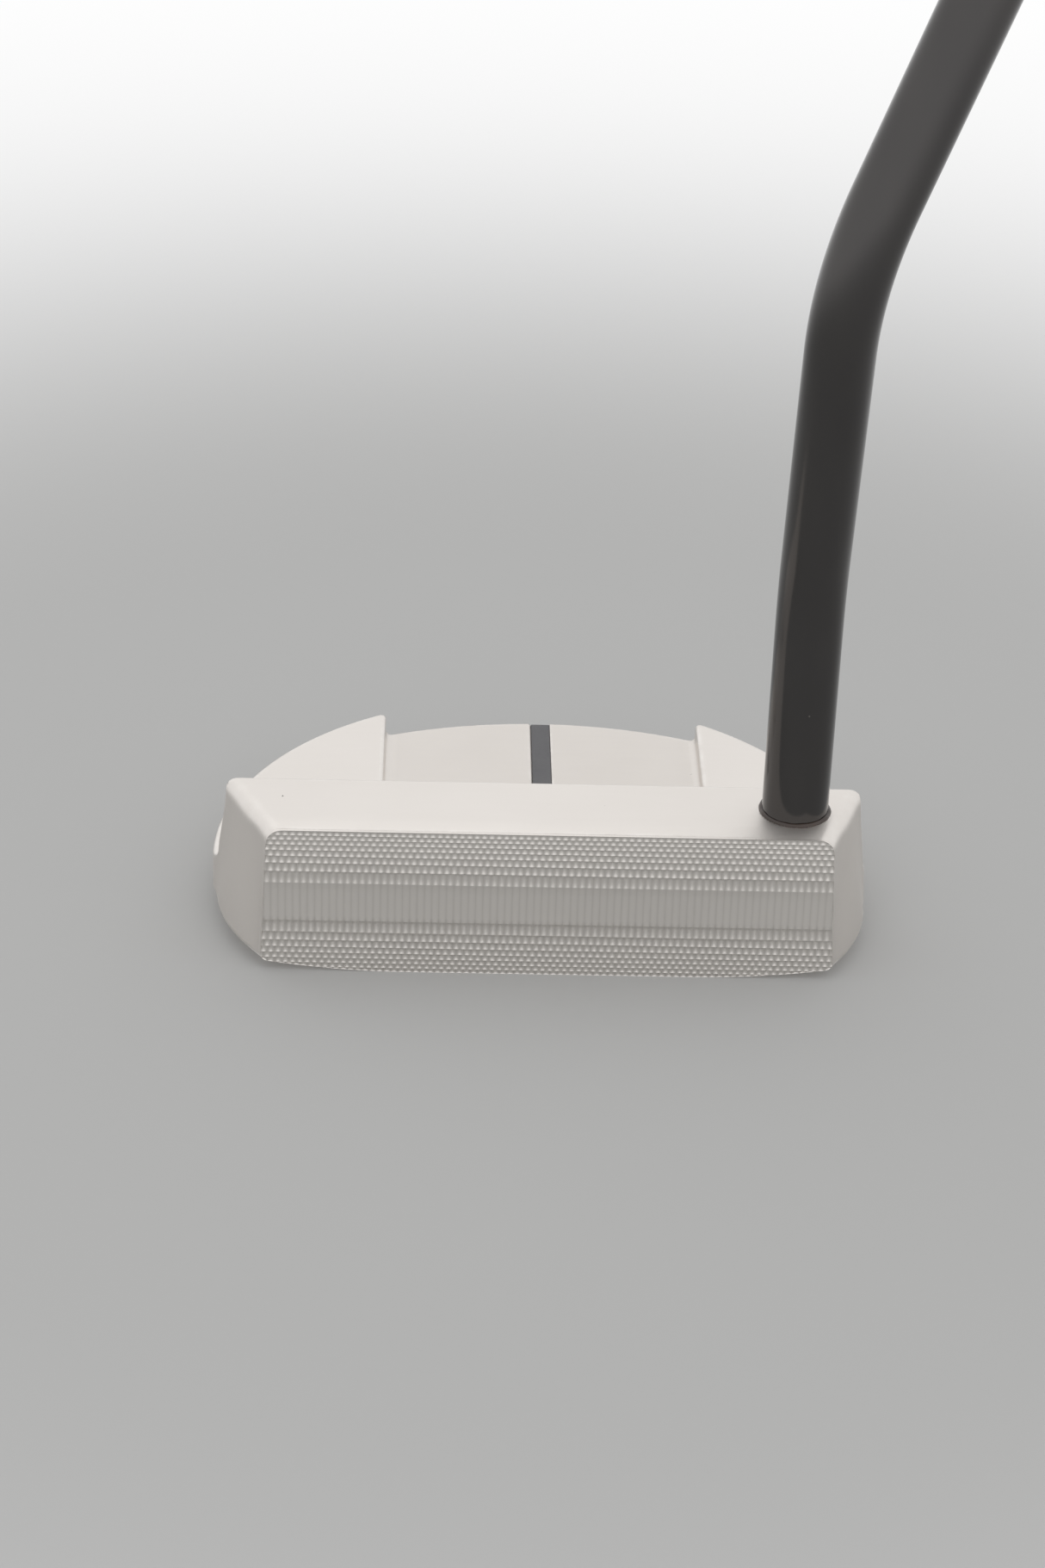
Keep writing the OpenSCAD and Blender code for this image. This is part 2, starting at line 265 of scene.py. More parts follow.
def makeTurned(x, y):  # lathe marks round each weight's axis, alike on both sides of the head
    form = turnedFinish
    material, tree, sockets = newMaterial("turnedSteel", form["light"], form["roughness"][0], 1.0)
    folded = addNode(tree, "ShaderNodeVectorMath", {0: objectPlace(tree)}, operation="ABSOLUTE").outputs[0]
    axis = addNode(tree, "ShaderNodeMapping", {"Vector": folded, "Location": (-x * mm, -y * mm, 0.0)})
    rings = addNode(tree, "ShaderNodeTexWave", {
        "Vector": axis.outputs[0], "Scale": form["ringScale"], "Distortion": form["ringWaver"]},
        wave_type="RINGS", rings_direction="Z").outputs["Fac"]
    cloud = useGroup(tree, grain, scale=150.0, detail=3.0)
    colour = mixColour(tree, cloud, form["light"], form["dark"])
    ringed = spread(tree, rings, *form["ringRough"])
    dull = calc(tree, "ADD", spread(tree, cloud, *form["roughness"]), ringed)
    applySurface(tree, sockets, colour, dull, rings, form["bump"])
    return material


plainFinish = dict(cloudShare=0.12, detail=3.0, bumpStrength=0.5)


def makePlain(name, light, dark, roughness, grainScale, bumpDepth, specular=0.5):
    # a finish of two near tones with its own grain, for the smaller pieces
    form = plainFinish
    material, tree, sockets = newMaterial(name, light, roughness[0], specular=specular)
    cloud = useGroup(tree, grain, scale=grainScale * form["cloudShare"], detail=form["detail"])
    fine = useGroup(tree, grain, scale=grainScale, detail=form["detail"])
    colour = mixColour(tree, cloud, light, dark)
    bump = (bumpDepth, form["bumpStrength"])
    applySurface(tree, sockets, colour, spread(tree, fine, *roughness), fine, bump)
    return material


# shapes as signed distances in millimetres, negative inside

leastSlope = 1e-4
leastStep = 1e-9


def roundMax(a, b, r):  # both shapes, with an outer radius where they meet
    return np.minimum(np.maximum(a, b), -r) + np.hypot(np.maximum(a + r, 0), np.maximum(b + r, 0))


def roundMin(a, b, r):  # either shape, with a fillet where they meet
    return np.maximum(np.minimum(a, b), r) - np.hypot(np.maximum(r - a, 0), np.maximum(r - b, 0))


def softMin(a, b, k):  # either shape, blended over a width
    h = np.clip(0.5 + 0.5 * (b - a) / k, 0, 1)
    return b * (1 - h) + a * h - k * h * (1 - h)


def eased(share):  # 0 to 1 with a soft start and end
    return share * share * (3 - 2 * share)


def slopeOf(shape, points, step=0.02):
    slope = np.empty_like(points)
    for axis, shift in enumerate(np.eye(3) * step):
        slope[:, axis] = (shape(*(points + shift).T) - shape(*(points - shift).T)) / (2 * step)
    return slope


def turningOf(shape, points, step):  # high where a surface turns sharply outwards
    turning = -6 * shape(*points.T)
    for shift in np.eye(3) * step:
        turning += shape(*(points + shift).T) + shape(*(points - shift).T)
    return turning / step ** 2


def settle(shape, points, longest, keepOff=None, rounds=4):  # moves points on to the surface
    for _ in range(rounds):
        slope = slopeOf(shape, points)
        if keepOff is not None:
            slope -= np.outer(slope @ keepOff, keepOff)
        share = shape(*points.T) / np.maximum((slope ** 2).sum(1), leastSlope)
        step = slope * share[:, None]
        length = np.linalg.norm(step, axis=1, keepdims=True)
        points = points - step * np.minimum(1, longest / np.maximum(length, leastStep))
    return points


def gridLine(low, high, coarse, fine=0.0, spans=()):  # grid positions, closer together within some spans
    line = [low]
    while line[-1] < high:
        near = any(start < line[-1] + coarse and line[-1] < end for start, end in spans)
        line.append(line[-1] + (fine if near else coarse))
    return np.array(line)


def netMesh(shape, axes):  # a quad net over the surface of a shape
    field = shape(*np.meshgrid(*axes, indexing="ij"))
    inside = field < 0
    size = np.array(field.shape) - 1
    corners = [(i, j, k) for i in (0, 1) for j in (0, 1) for k in (0, 1)]

    def atCorner(values, corner):
        return values[tuple(slice(corner[i], size[i] + corner[i]) for i in range(3))]

    total = sum(atCorner(inside, corner).astype(np.int8) for corner in corners)
    mixed = (total > 0) & (total < len(corners))
    index = np.full(size, -1)
    index[mixed] = np.arange(mixed.sum())
    values = {corner: atCorner(field, corner)[mixed] for corner in corners}
    place = np.zeros((mixed.sum(), 3))
    hits = np.zeros(mixed.sum())
    for start in corners:
        for axis in range(3):
            if start[axis]:
                continue
            end = tuple(1 if i == axis else start[i] for i in range(3))
            cross = (values[start] < 0) != (values[end] < 0)
            share = np.where(cross, values[start] / np.where(cross, values[start] - values[end], 1), 0)
            point = np.array(start) + share[:, None] * (np.array(end) - np.array(start))
            place += cross[:, None] * point
            hits += cross
    cells = np.argwhere(mixed)
    place /= hits[:, None]
    points = np.stack([axes[i][cells[:, i]] + place[:, i] * np.diff(axes[i])[cells[:, i]]
                       for i in range(3)], 1)
    faces = []
    for axis in range(3):
        u, v = (axis + 1) % 3, (axis + 2) % 3
        before = np.take(inside, range(size[axis]), axis)
        change = before != np.take(inside, range(1, size[axis] + 1), axis)
        where = np.argwhere(change)
        quads = []
        for stepU, stepV in ((-1, -1), (0, -1), (0, 0), (-1, 0)):
            around = where.copy()
            around[:, u] += stepU
            around[:, v] += stepV
            quads.append(index[tuple(around.T)])
        quads = np.stack(quads, 1)
        turned = ~before[change]
        quads[turned] = quads[turned][:, ::-1]
        faces.append(quads)
    return settle(shape, points, np.diff(axes[0]).max()), np.concatenate(faces)


# objects and what carries them

def addObject(name, data, *materials):
    for material in materials:
        if material.name not in data.materials:
            data.materials.append(material)
    piece = bpy.data.objects.new(name, data)
    bpy.context.scene.collection.objects.link(piece)
    return piece


def dress(piece, node=None, body="club"):
    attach(piece, body)
    if node:
        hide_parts(node)
    return piece


def addPiece(name, points, faces, material, node, body="club"):  # points in millimetres
    mesh = bpy.data.meshes.new(name)
    mesh.from_pydata((np.asarray(points) * mm).tolist(), [], [list(map(int, face)) for face in faces])
    mesh.validate()
    mesh.shade_smooth()
    return dress(addObject(name, mesh, material), node, body)


# the head, measured in millimetres from its leading edge

headForm = dict(
    faceWidth=79.4, barHeight=headHigh[2], barDepth=15.7, loft=math.radians(3),
    toeFlare=math.radians(26), heelFlare=math.radians(21), endDraft=math.radians(3.5),
    endSwell=1.9, endSwellRadius=20.0, endPlain=3.0, endBlend=0.7,
    backRadius=47.4, backX=-1.0, backY=19.0, wingHeight=9.0,
    channelWidth=48.2, channelDrop=2.2, tailRadius=63.4, tailTuck=4.0, depth=headHigh[1] - headLow[1],
    soleFlatWidth=40.0, camberRadius=135.0, soleFlatDepth=-2 * frontY, tailReliefRadius=90.0,
    topEdge=2.0, lowEdge=0.4, backEdge=0.7, rearEdge=0.55, wingTip=1.1, footFillet=1.0, barFillet=1.4,
    soleEdge=0.9, crownTilt=math.radians(13), crownStart=2.4, crownBlend=0.5, faceInset=0.2,
    # how fine the net is, with the distances round each feature within which it is finer
    net=dict(cell=0.6, fineCell=0.31, pocket=1.0, hosel=6.0, barAhead=1.0, barBehind=0.3, sole=3.0,
             channel=1.0, top=0.8),
    # the last setting is how far the painted shade in the channel fades in at its walls
    wearStep=0.45, wearGain=0.7, channelShadeFade=2.0)
channelZ = headForm["wingHeight"] - headForm["channelDrop"]
sightForm = dict(halfWidth=1.45, depth=0.5, recess=0.1, gap=0.01, cell=0.13, longCell=0.39,
                 gridHalf=2.0, gridEnds=0.5, gridBelow=1.0, gridAbove=0.5)

weightLow, weightHigh = boxOf("heel_weight")
weightForm = dict(
    x=(weightLow[0] + weightHigh[0]) / 2, y=(weightLow[1] + weightHigh[1]) / 2,
    low=weightLow[2], top=weightHigh[2], radius=(weightHigh[0] - weightLow[0]) / 2,
    flange=1.8, bossRadius=4.9, pitch=0.75, threadDepth=0.3, threadSteps=8, threadEnd=0.35, neck=0.1,
    pocketGap=0.3, threadGap=0.05, sealCord=0.9, sealGap=0.05, rim=0.55, sides=72, sharp=math.radians(35),
    socketFlats=4.0, faceRing=3.0,
    # shares of the hexagon and heights, then insets and distances along each edge
    socketProfile=((0.25, 1.75), (0.97, 1.5), (1.0, 1.4), (1.0, 0.28), (1.06, 0.03)),
    lowEdge=((0.45, 0.0), (0.12, 0.12), (0.0, 0.4)), flangeEdge=((0.0, 0.2), (0.2, 0.0)),
    topEdge=((0.4, 0.15), (0.7, 0.0)))
pocketLedge = weightForm["low"] + weightForm["flange"] + weightForm["sealCord"] + 2 * weightForm["sealGap"]
pocketTop = weightForm["top"] + weightForm["pocketGap"]

plugLow, plugHigh = boxOf("tip_plug")
shaftForm = dict(
    x=(plugLow[0] + plugHigh[0]) / 2, y=(plugLow[1] + plugHigh[1]) / 2, boreZ=plugLow[2],
    foot=boxOf("shaft")[0][2], tipRadius=4.7, buttRadius=7.35, bond=0.16, lip=0.25,
    lowBendZ=57.0, highBendZ=107.5, forward=12.6, lie=math.radians(70),
    lowBendRadius=50.0, highBendRadius=54.0, bendSteps=28, plainLength=170.0,
    steps=12, stepLength=24.0, stepRun=1.2, stepShares=(-0.5, -0.2, 0.2, 0.5), stepSteep=1.6,
    clubLength=864.0, capRoom=3.0, sides=72, sharp=math.radians(50))


def endWall(x, y, z, side, flare):  # a toe or heel wall, swelling out towards the sole
    form = headForm
    topY = form["barHeight"] * math.tan(form["loft"])
    across, back, up = side * x - form["faceWidth"] / 2, y - topY, z - form["barHeight"]
    along = across * math.sin(flare) + back * math.cos(flare)
    level = across * math.cos(flare) - back * math.sin(flare)
    out = level * math.cos(form["endDraft"]) + up * math.sin(form["endDraft"])
    rise = up * math.cos(form["endDraft"]) - level * math.sin(form["endDraft"]) + form["endPlain"]
    halfWall = (form["barDepth"] - topY) / math.cos(flare) / 2
    tilt = math.atan(form["endSwell"] / (form["barHeight"] - form["endPlain"]))
    leaned = out * math.cos(tilt) + rise * math.sin(tilt)
    swell = np.hypot(leaned + form["endSwellRadius"], along - halfWall) - form["endSwellRadius"]
    return softMin(out, swell, form["endBlend"])


def rolledUp(past, z, radius):  # a sole that curves up past its flat
    return np.hypot(np.maximum(past, 0), z - radius) - radius


def headBody(x, y, z):  # the head before its face is cut and its holes are drilled
    form = headForm
    top = z - form["barHeight"]
    crown = top * math.cos(form["crownTilt"]) - (y - form["crownStart"]) * math.sin(form["crownTilt"])
    top = -softMin(-top, -crown, form["crownBlend"])
    bar = roundMax(y - form["barDepth"], top, form["backEdge"])
    tub = np.hypot(x - form["backX"], y - form["backY"]) - form["backRadius"]
    wall = form["channelWidth"] / 2 - np.abs(x)
    wing = roundMax(roundMax(tub, wall, form["wingTip"]), z - form["wingHeight"], form["rearEdge"])
    tailY = form["depth"] - form["tailRadius"]
    tail = np.maximum(np.hypot(x, y - tailY) - form["tailRadius"], -wall - form["tailTuck"])
    floor = roundMax(tail, z - channelZ, form["rearEdge"])
    body = roundMin(bar, roundMin(wing, floor, form["footFillet"]), form["barFillet"])
    ends = np.maximum(endWall(x, y, z, 1, form["heelFlare"]), endWall(x, y, z, -1, form["toeFlare"]))
    edgeRise = form["barHeight"] - form["wingHeight"] - form["topEdge"]
    high = np.clip((z - form["wingHeight"]) / edgeRise, 0, 1)
    body = roundMax(body, ends, form["lowEdge"] + (form["topEdge"] - form["lowEdge"]) * eased(high))
    camber = rolledUp(np.abs(x) - form["soleFlatWidth"] / 2, z, form["camberRadius"])
    relief = rolledUp(y - form["soleFlatDepth"], z, form["tailReliefRadius"])
    return roundMax(body, np.maximum(camber, relief), form["soleEdge"])


def sightGroove(x, y, z):
    aside = np.abs(x) - sightForm["halfWidth"]
    return np.maximum(np.maximum(aside, channelZ - sightForm["depth"] - z), headForm["barDepth"] - y)


def headShape(x, y, z):  # the finished head, with a seat for the face, pockets, bore and groove
    weight, shaft = weightForm, shaftForm
    face = z * math.sin(headForm["loft"]) - y * math.cos(headForm["loft"])
    body = np.maximum(headBody(x, y, z), face + headForm["faceInset"])
    fromWeight = np.hypot(np.abs(x) - weight["x"], y - weight["y"] + frontY)
    pocket = np.maximum(fromWeight - weight["radius"] - weight["pocketGap"], z - pocketLedge)
    hole = np.maximum(fromWeight - weight["bossRadius"] - weight["threadGap"], z - pocketTop)
    fromShaft = np.hypot(x - shaft["x"], y - shaft["y"] + frontY)
    bore = np.maximum(fromShaft - shaft["tipRadius"] - shaft["bond"], shaft["boreZ"] - z)
    body = roundMax(body, -pocket, weight["rim"])
    body = roundMax(np.maximum(body, -hole), -bore, shaft["lip"])
    return np.maximum(body, -sightGroove(x, y, z))


def mark(piece, name, values):
    mask = piece.data.attributes.new(name, "FLOAT", "POINT")
    mask.data.foreach_set("value", values.astype(np.float32))


def buildHead(nickel):
    form, net = headForm, headForm["net"]
    margin = 2 * net["cell"]
    pocket = weightForm["radius"] + net["pocket"]
    alongWeight, alongShaft = weightForm["y"] - frontY, shaftForm["y"] - frontY
    fineX = [(side * weightForm["x"] - pocket, side * weightForm["x"] + pocket) for side in (-1, 1)]
    fineY = [(alongWeight - pocket, alongWeight + pocket),
             (alongShaft - net["hosel"], alongShaft + net["hosel"]),
             (form["barDepth"] - net["barAhead"], form["barDepth"] + net["barBehind"])]
    fineZ = [(0, net["sole"]), (channelZ - net["channel"], form["wingHeight"]),
             (form["barHeight"] - net["top"], form["barHeight"])]
    spans = ((headLow[0], headHigh[0], fineX), (0, form["depth"], fineY), (0, form["barHeight"], fineZ))
    axes = [gridLine(low - margin, high + margin, net["cell"], net["fineCell"], fine)
            for low, high, fine in spans]
    points, faces = netMesh(headShape, axes)
    normals = slopeOf(headShape, points)
    normals /= np.linalg.norm(normals, axis=1, keepdims=True)
    head = addPiece("headCasting", points + [0, frontY, 0], faces, nickel, "head")
    mark(head, "edgeMask", np.clip(turningOf(headShape, points, form["wearStep"]) * form["wearGain"], 0, 1))
    x, y, z = points.T
    fade = form["channelShadeFade"]  # painted shade: the channel recess is made darker in colour
    channelShade = np.clip((form["channelWidth"] / 2 - np.abs(x)) / fade, 0, 1)
    channelShade *= np.clip((y - form["barDepth"]) / fade, 0, 1) * np.clip((z - channelZ) / fade + 1, 0, 1)
    mark(head, "channelShadeMask", channelShade)
    head.data.normals_split_custom_set_from_vertices(normals.tolist())
    print("head:", len(points), "points,", len(faces), "quads")


satinNickel = makeNickel()
buildHead(satinNickel)


# geometry trees

def newShapeTree(name, **inputs):
    return newTree("GeometryNodeTree", name, inputs, "Geometry", "NodeSocketGeometry")


def finishTree(tree, geometry, material, result):
    whole = addNode(tree, "GeometryNodeRealizeInstances", {"Geometry": geometry}).outputs[0]
    coated = addNode(tree, "GeometryNodeSetMaterial", {"Geometry": whole, "Material": material}).outputs[0]
    tree.links.new(coated, result)
    return tree


def runTree(tree, holder, **values):  # the tree's result as a plain mesh
    modifier = holder.modifiers.new(tree.name, "NODES")
    modifier.node_group = tree
    named = {label(key): value for key, value in values.items()}
    for item in tree.interface.items_tree:
        if item.in_out == "INPUT" and item.name in named:
            modifier[item.identifier] = named[item.name]
    bpy.context.view_layer.update()
    depsgraph = bpy.context.evaluated_depsgraph_get()
    mesh = bpy.data.meshes.new_from_object(holder.evaluated_get(depsgraph))
    data = holder.data
    bpy.data.objects.remove(holder)
    store = bpy.data.meshes if isinstance(data, bpy.types.Mesh) else bpy.data.curves
    store.remove(data)
    return mesh


# the milled face, cut as rows of small dishes that grow longer towards a smooth band

faceForm = dict(
    bandHeight=11.1, thickness=0.8, overlap=0.006, tuck=0.06, tuckStep=0.3, merge=0.004, sliver=0.003,
    cells=dict(
        columns=80, rows=9, across=6, along=8, pitch=1.03, bandHalf=3.0, growth=14.5, slope=0.5, start=0.75,
        settle=0.6, curve=2.2, lowest=0.2, ridge=0.95, taper=2.3, line=0.012, bandDip=0.08,
        # the seam settings shape the painted shade between dishes
        seamCurve=0.75, seamFade=0.55, bandSeam=0.45, bandSeamCurve=1.5))
faceUp = np.array([0, math.sin(headForm["loft"]), math.cos(headForm["loft"])])
faceInward = np.array([0, math.cos(headForm["loft"]), -math.sin(headForm["loft"])])


def makeFaceTree():
    tree, given, result = newShapeTree("milledFace", **faceForm["cells"], material="NodeSocketMaterial")
    hair = 0.0001  # keeps a row's own edge within the row
    do = partial(calc, tree)
    add, minus, times, divide, power = (partial(do, operation) for operation in (
        "ADD", "SUBTRACT", "MULTIPLY", "DIVIDE", "POWER"))
    rowCount = do("MULTIPLY_ADD", given["Rows"], 2.0, 1.0)
    grid = addNode(tree, "GeometryNodeMeshGrid", {
        "Size X": given["Columns"], "Size Y": rowCount,
        "Vertices X": do("MULTIPLY_ADD", given["Columns"], given["Across"], 1.0),
        "Vertices Y": do("MULTIPLY_ADD", rowCount, given["Along"], 1.0)}).outputs["Mesh"]
    start = addNode(tree, "GeometryNodeInputPosition").outputs[0]
    column, row, _ = addNode(tree, "ShaderNodeSeparateXYZ", {0: start}).outputs
    far = minus(do("ABSOLUTE", row), 0.5)  # rows away from the smooth band
    outer = do("MAXIMUM", far, 0.0)
    milled = do("GREATER_THAN", far, -hair)
    rowIndex = do("FLOOR", add(outer, hair))
    aside = times(do("MODULO", rowIndex, 2.0), 0.5)  # every other row lies half a dish aside
    inDish = do("FRACT", add(column, aside))
    fromSide = power(do("ABSOLUTE", do("MULTIPLY_ADD", inDish, 2.0, -1.0)), 2.0)
    inRow = do("FRACT", outer)
    inRow = pick(tree, do("GREATER_THAN", row, 0.0), inRow, minus(1.0, inRow))
    fallen = pick(tree, milled, minus(0.5, row), inRow)  # 0 at a row's top, 1 at its foot
    fromLow = minus(fallen, given["Lowest"])  # each dish is deepest near the top of its row
    below = minus(1.0, given["Lowest"])
    halfRow = pick(tree, do("GREATER_THAN", fromLow, 0.0), given["Lowest"], below)
    fromEnd = power(do("ABSOLUTE", divide(fromLow, halfRow)), given["Curve"])
    profile = minus(1.0, fromEnd)
    bandSquare = times(given["Band half"], given["Band half"])
    reach = do("SQRT", do("MULTIPLY_ADD", outer, given["Growth"], bandSquare))
    rowHeight = divide(times(given["Growth"], 0.5), reach)
    begun = add(rowIndex, given["Start"])
    growing = divide(begun, add(begun, given["Settle"]))
    steep = times(given["Slope"], divide(below, given["Curve"]))
    deepest = times(times(rowHeight, growing), steep)
    hollow = minus(1.0, times(fromSide, given["Ridge"]))
    hollow = power(hollow, given["Taper"])
    dish = times(times(profile, hollow), deepest)
    line = times(minus(1.0, fromSide), given["Line"])
    depth = pick(tree, milled, do("MULTIPLY_ADD", profile, given["Band dip"], line), dish)
    inBand = times(times(row, 2.0), given["Band half"])
    rise = pick(tree, milled, inBand, times(do("SIGN", row), reach))
    sideways = times(column, given["Pitch"])
    spot = addNode(tree, "ShaderNodeCombineXYZ", {0: sideways, 1: depth, 2: rise}).outputs[0]
    # painted shade: a darker tone on the seam between two dishes, fainter across the band
    faded = minus(1.0, times(fallen, given["Seam fade"]))
    dull = times(power(fromSide, given["Seam curve"]), faded)
    faint = times(power(fromSide, given["Band seam curve"]), given["Band seam"])
    seamed = addNode(tree, "GeometryNodeStoreNamedAttribute", {
        "Geometry": grid, "Name": "dishShadeMask", "Value": pick(tree, milled, faint, dull)}).outputs[0]
    cut = addNode(tree, "GeometryNodeSetPosition", {"Geometry": seamed, "Position": spot}).outputs[0]
    return finishTree(tree, cut, given["Material"], result)


def outline(x, y, z):  # the plate just covers the head's edge
    return headBody(x, y, z) - faceForm["overlap"]


def tucked(x, y, z):  # the plate's back edge lies inside the head
    return headBody(x, y, z) + faceForm["tuck"]


def cutFace(milled):  # the milled cells, trimmed to the head's outline
    cells = faceForm["cells"]
    holder = addObject("faceCells", bpy.data.meshes.new("faceCells"))
    mesh = runTree(makeFaceTree(), holder, **cells, material=milled)
    local = np.empty(len(mesh.vertices) * 3)
    mesh.vertices.foreach_get("co", local)
    local = local.reshape(-1, 3)
    quads = np.empty(len(mesh.loops), int)
    mesh.loops.foreach_get("vertex_index", quads)
    quads = quads.reshape(-1, 4)
    # the painted shade between dishes, one value for each point
    dishShades = np.empty(len(local))
    mesh.attributes["dishShadeMask"].data.foreach_get("value", dishShades)
    bpy.data.meshes.remove(mesh)
    risen = local[:, 2] + faceForm["bandHeight"] / math.cos(headForm["loft"])
    flat = local * [1, 0, 0] + np.outer(risen, faceUp)
    outside = outline(*flat.T)
    quads = quads[(outside[quads] < 0).any(1)]
    used, quads = np.unique(quads, return_inverse=True)
    flat, depth, over = flat[used], local[used, 1], outside[used] > 0
    flat[over] = settle(outline, flat[over], cells["pitch"], faceInward, rounds=6)
    depth[over] = 0
    # where each point lies up the face, or -1 if it isn't on the line between two rows
    rowLines = used % ((2 * cells["rows"] + 1) * cells["along"] + 1)
    rowLines[rowLines % cells["along"] > 0] = -1
    return flat + np.outer(depth, faceInward), quads.reshape(-1, 4), dishShades[used], rowLines


def creasedBorder(shell):
    border = [edge for edge in shell.edges if edge.is_boundary]
    for edge in border:
        edge.smooth = False
    return border


def buildFace(nickel):
    form = faceForm
    milled = makeMilled()
    points, quads, dishShades, rowLines = cutFace(milled)
    shell = bmesh.new()
    # each point keeps its share of the painted shade between dishes
    dishShadeLayer = shell.verts.layers.float.new("dishShadeMask")
    for point, seam in zip(points, dishShades):
        shell.verts.new(point)[dishShadeLayer] = seam
    shell.verts.ensure_lookup_table()
    for quad in quads:
        shell.faces.new([shell.verts[i] for i in quad])
    shell.verts.index_update()
    for edge in shell.edges:  # a crease where one row of dishes ends and the next begins
        first, second = (rowLines[vert.index] for vert in edge.verts)
        edge.smooth = first < 0 or first != second
    bmesh.ops.remove_doubles(shell, verts=shell.verts, dist=form["merge"])
    bmesh.ops.dissolve_degenerate(shell, edges=shell.edges, dist=form["sliver"])
    rim = bmesh.ops.extrude_edge_only(shell, edges=creasedBorder(shell))["geom"]
    sides = [item for item in rim if isinstance(item, bmesh.types.BMVert)]
    moved = np.array([vert.co for vert in sides]) + faceInward * form["thickness"]
    moved = settle(tucked, moved, form["tuckStep"], faceInward, rounds=5)
    for vert, point in zip(sides, moved):
        vert.co = point
    bmesh.ops.contextual_create(shell, geom=creasedBorder(shell))
    for face in {face for vert in sides for face in vert.link_faces}:
        face.material_index = 1
    for vert in shell.verts:
        vert.co.z = max(vert.co.z, 0)
    bmesh.ops.recalc_face_normals(shell, faces=shell.faces)
    bmesh.ops.translate(shell, verts=shell.verts, vec=(0, frontY, 0))
    bmesh.ops.scale(shell, verts=shell.verts, vec=(mm, mm, mm))
    gaps = sum(edge.is_boundary for edge in shell.edges)
    mesh = bpy.data.meshes.new("milledFace")
    shell.to_mesh(mesh)
    shell.free()
    mesh.shade_smooth()
    dress(addObject("milledFace", mesh, milled, nickel), "head")
    print("face:", len(mesh.polygons), "faces, open edges", gaps)


buildFace(satinNickel)


# the paint in the sight line's groove

def paintShape(x, y, z):
    inside = np.maximum(headBody(x, y, z), z - channelZ) + sightForm["recess"]
    return np.maximum(inside, sightGroove(x, y, z) + sightForm["gap"])


def buildSight():
    form = sightForm
    points, faces = netMesh(paintShape, [
        gridLine(-form["gridHalf"], form["gridHalf"], form["cell"]),
        gridLine(headForm["barDepth"] - form["gridEnds"], headForm["depth"] + form["gridEnds"],
                 form["longCell"]),
        gridLine(channelZ - form["gridBelow"], channelZ + form["gridAbove"], form["cell"])])
    paint = makePlain("sightPaint", light=(0.106, 0.104, 0.109), dark=(0.086, 0.085, 0.09),
                      roughness=(0.45, 0.65), grainScale=2600.0, bumpDepth=0.00002)
    addPiece("sightPaint", points + [0, frontY, 0], faces, paint, "sight_line")
    print("sight line:", len(points), "points")


buildSight()


# the shaft, swept along its bends

def bendPoints(corner, before, after, radius):
    angle = math.acos(before @ after)
    side = after - before * (before @ after)
    side /= np.linalg.norm(side)
    start = corner - before * radius * math.tan(angle / 2)
    turns = np.linspace(0, angle, shaftForm["bendSteps"])
    return [start + radius * (side * (1 - math.cos(turn)) + before * math.sin(turn)) for turn in turns]


def shaftPath():
    form = shaftForm
    foot = np.array([form["x"], form["y"], form["foot"]])
    low = np.array([form["x"], form["y"], form["lowBendZ"]])
    high = np.array([form["x"], form["y"] - form["forward"], form["highBendZ"]])
    way = np.array([math.cos(form["lie"]), 0, math.sin(form["lie"])])
    middle = (high - low) / np.linalg.norm(high - low)
    points = [foot, *bendPoints(low, np.array([0, 0, 1.0]), middle, form["lowBendRadius"]),
              *bendPoints(high, middle, way, form["highBendRadius"])]
    radii = [form["tipRadius"]] * len(points)
    start = points[-1]
    rise = (form["buttRadius"] - form["tipRadius"]) / form["steps"]
    for step in range(form["steps"]):
        for share in form["stepShares"]:
            along = form["plainLength"] + step * form["stepLength"] + share * form["stepRun"]
            points.append(start + way * along)
            climbed = 0.5 + np.clip(share * form["stepSteep"], -0.5, 0.5)
            radii.append(form["tipRadius"] + rise * (step + climbed))
    upper = form["clubLength"] - form["highBendZ"] / math.sin(form["lie"])
    upper -= np.linalg.norm(start - high) + form["capRoom"]
    points.append(start + way * upper)
    radii.append(form["buttRadius"])
    return np.array(points), np.array(radii), start, way, upper


shaftPoints, shaftRadii, upperStart, upperWay, upperLength = shaftPath()


def makeSweepTree():
    tree, given, result = newShapeTree("sweptTube", path="NodeSocketGeometry", sides=shaftForm["sides"],
                                       material="NodeSocketMaterial")
    ring = addNode(tree, "GeometryNodeCurvePrimitiveCircle", {"Resolution": given["Sides"], "Radius": 1.0})
    thick = addNode(tree, "GeometryNodeInputRadius").outputs[0]
    tube = addNode(tree, "GeometryNodeCurveToMesh", {
        "Curve": given["Path"], "Profile Curve": ring.outputs["Curve"], "Scale": thick, "Fill Caps": True})
    return finishTree(tree, tube.outputs[0], given["Material"], result)


def buildShaft():
    curve = bpy.data.curves.new("shaftPath", "CURVE")
    curve.dimensions = "3D"
    spline = curve.splines.new("POLY")
    spline.points.add(len(shaftPoints) - 1)
    for spot, point, radius in zip(spline.points, shaftPoints * mm, shaftRadii * mm):
        spot.co = (*point, 1)
        spot.radius = radius
    plate = makeBlackPlate()
    mesh = runTree(makeSweepTree(), addObject("shaftPath", curve), sides=shaftForm["sides"], material=plate)
    mesh.shade_smooth()
    mesh.set_sharp_from_angle(angle=shaftForm["sharp"])
    dress(addObject("shaftTube", mesh, plate), "shaft")
    print("shaft:", len(mesh.vertices), "points")


buildShaft()


# pieces turned round an axis

def fullTurn(sides):
    return np.linspace(0, 2 * math.pi, sides, endpoint=False)


def ringAt(x, y, z, radius, turn):  # a level ring of points
    return np.stack(np.broadcast_arrays(x + radius * np.cos(turn), y + radius * np.sin(turn), z), 1)


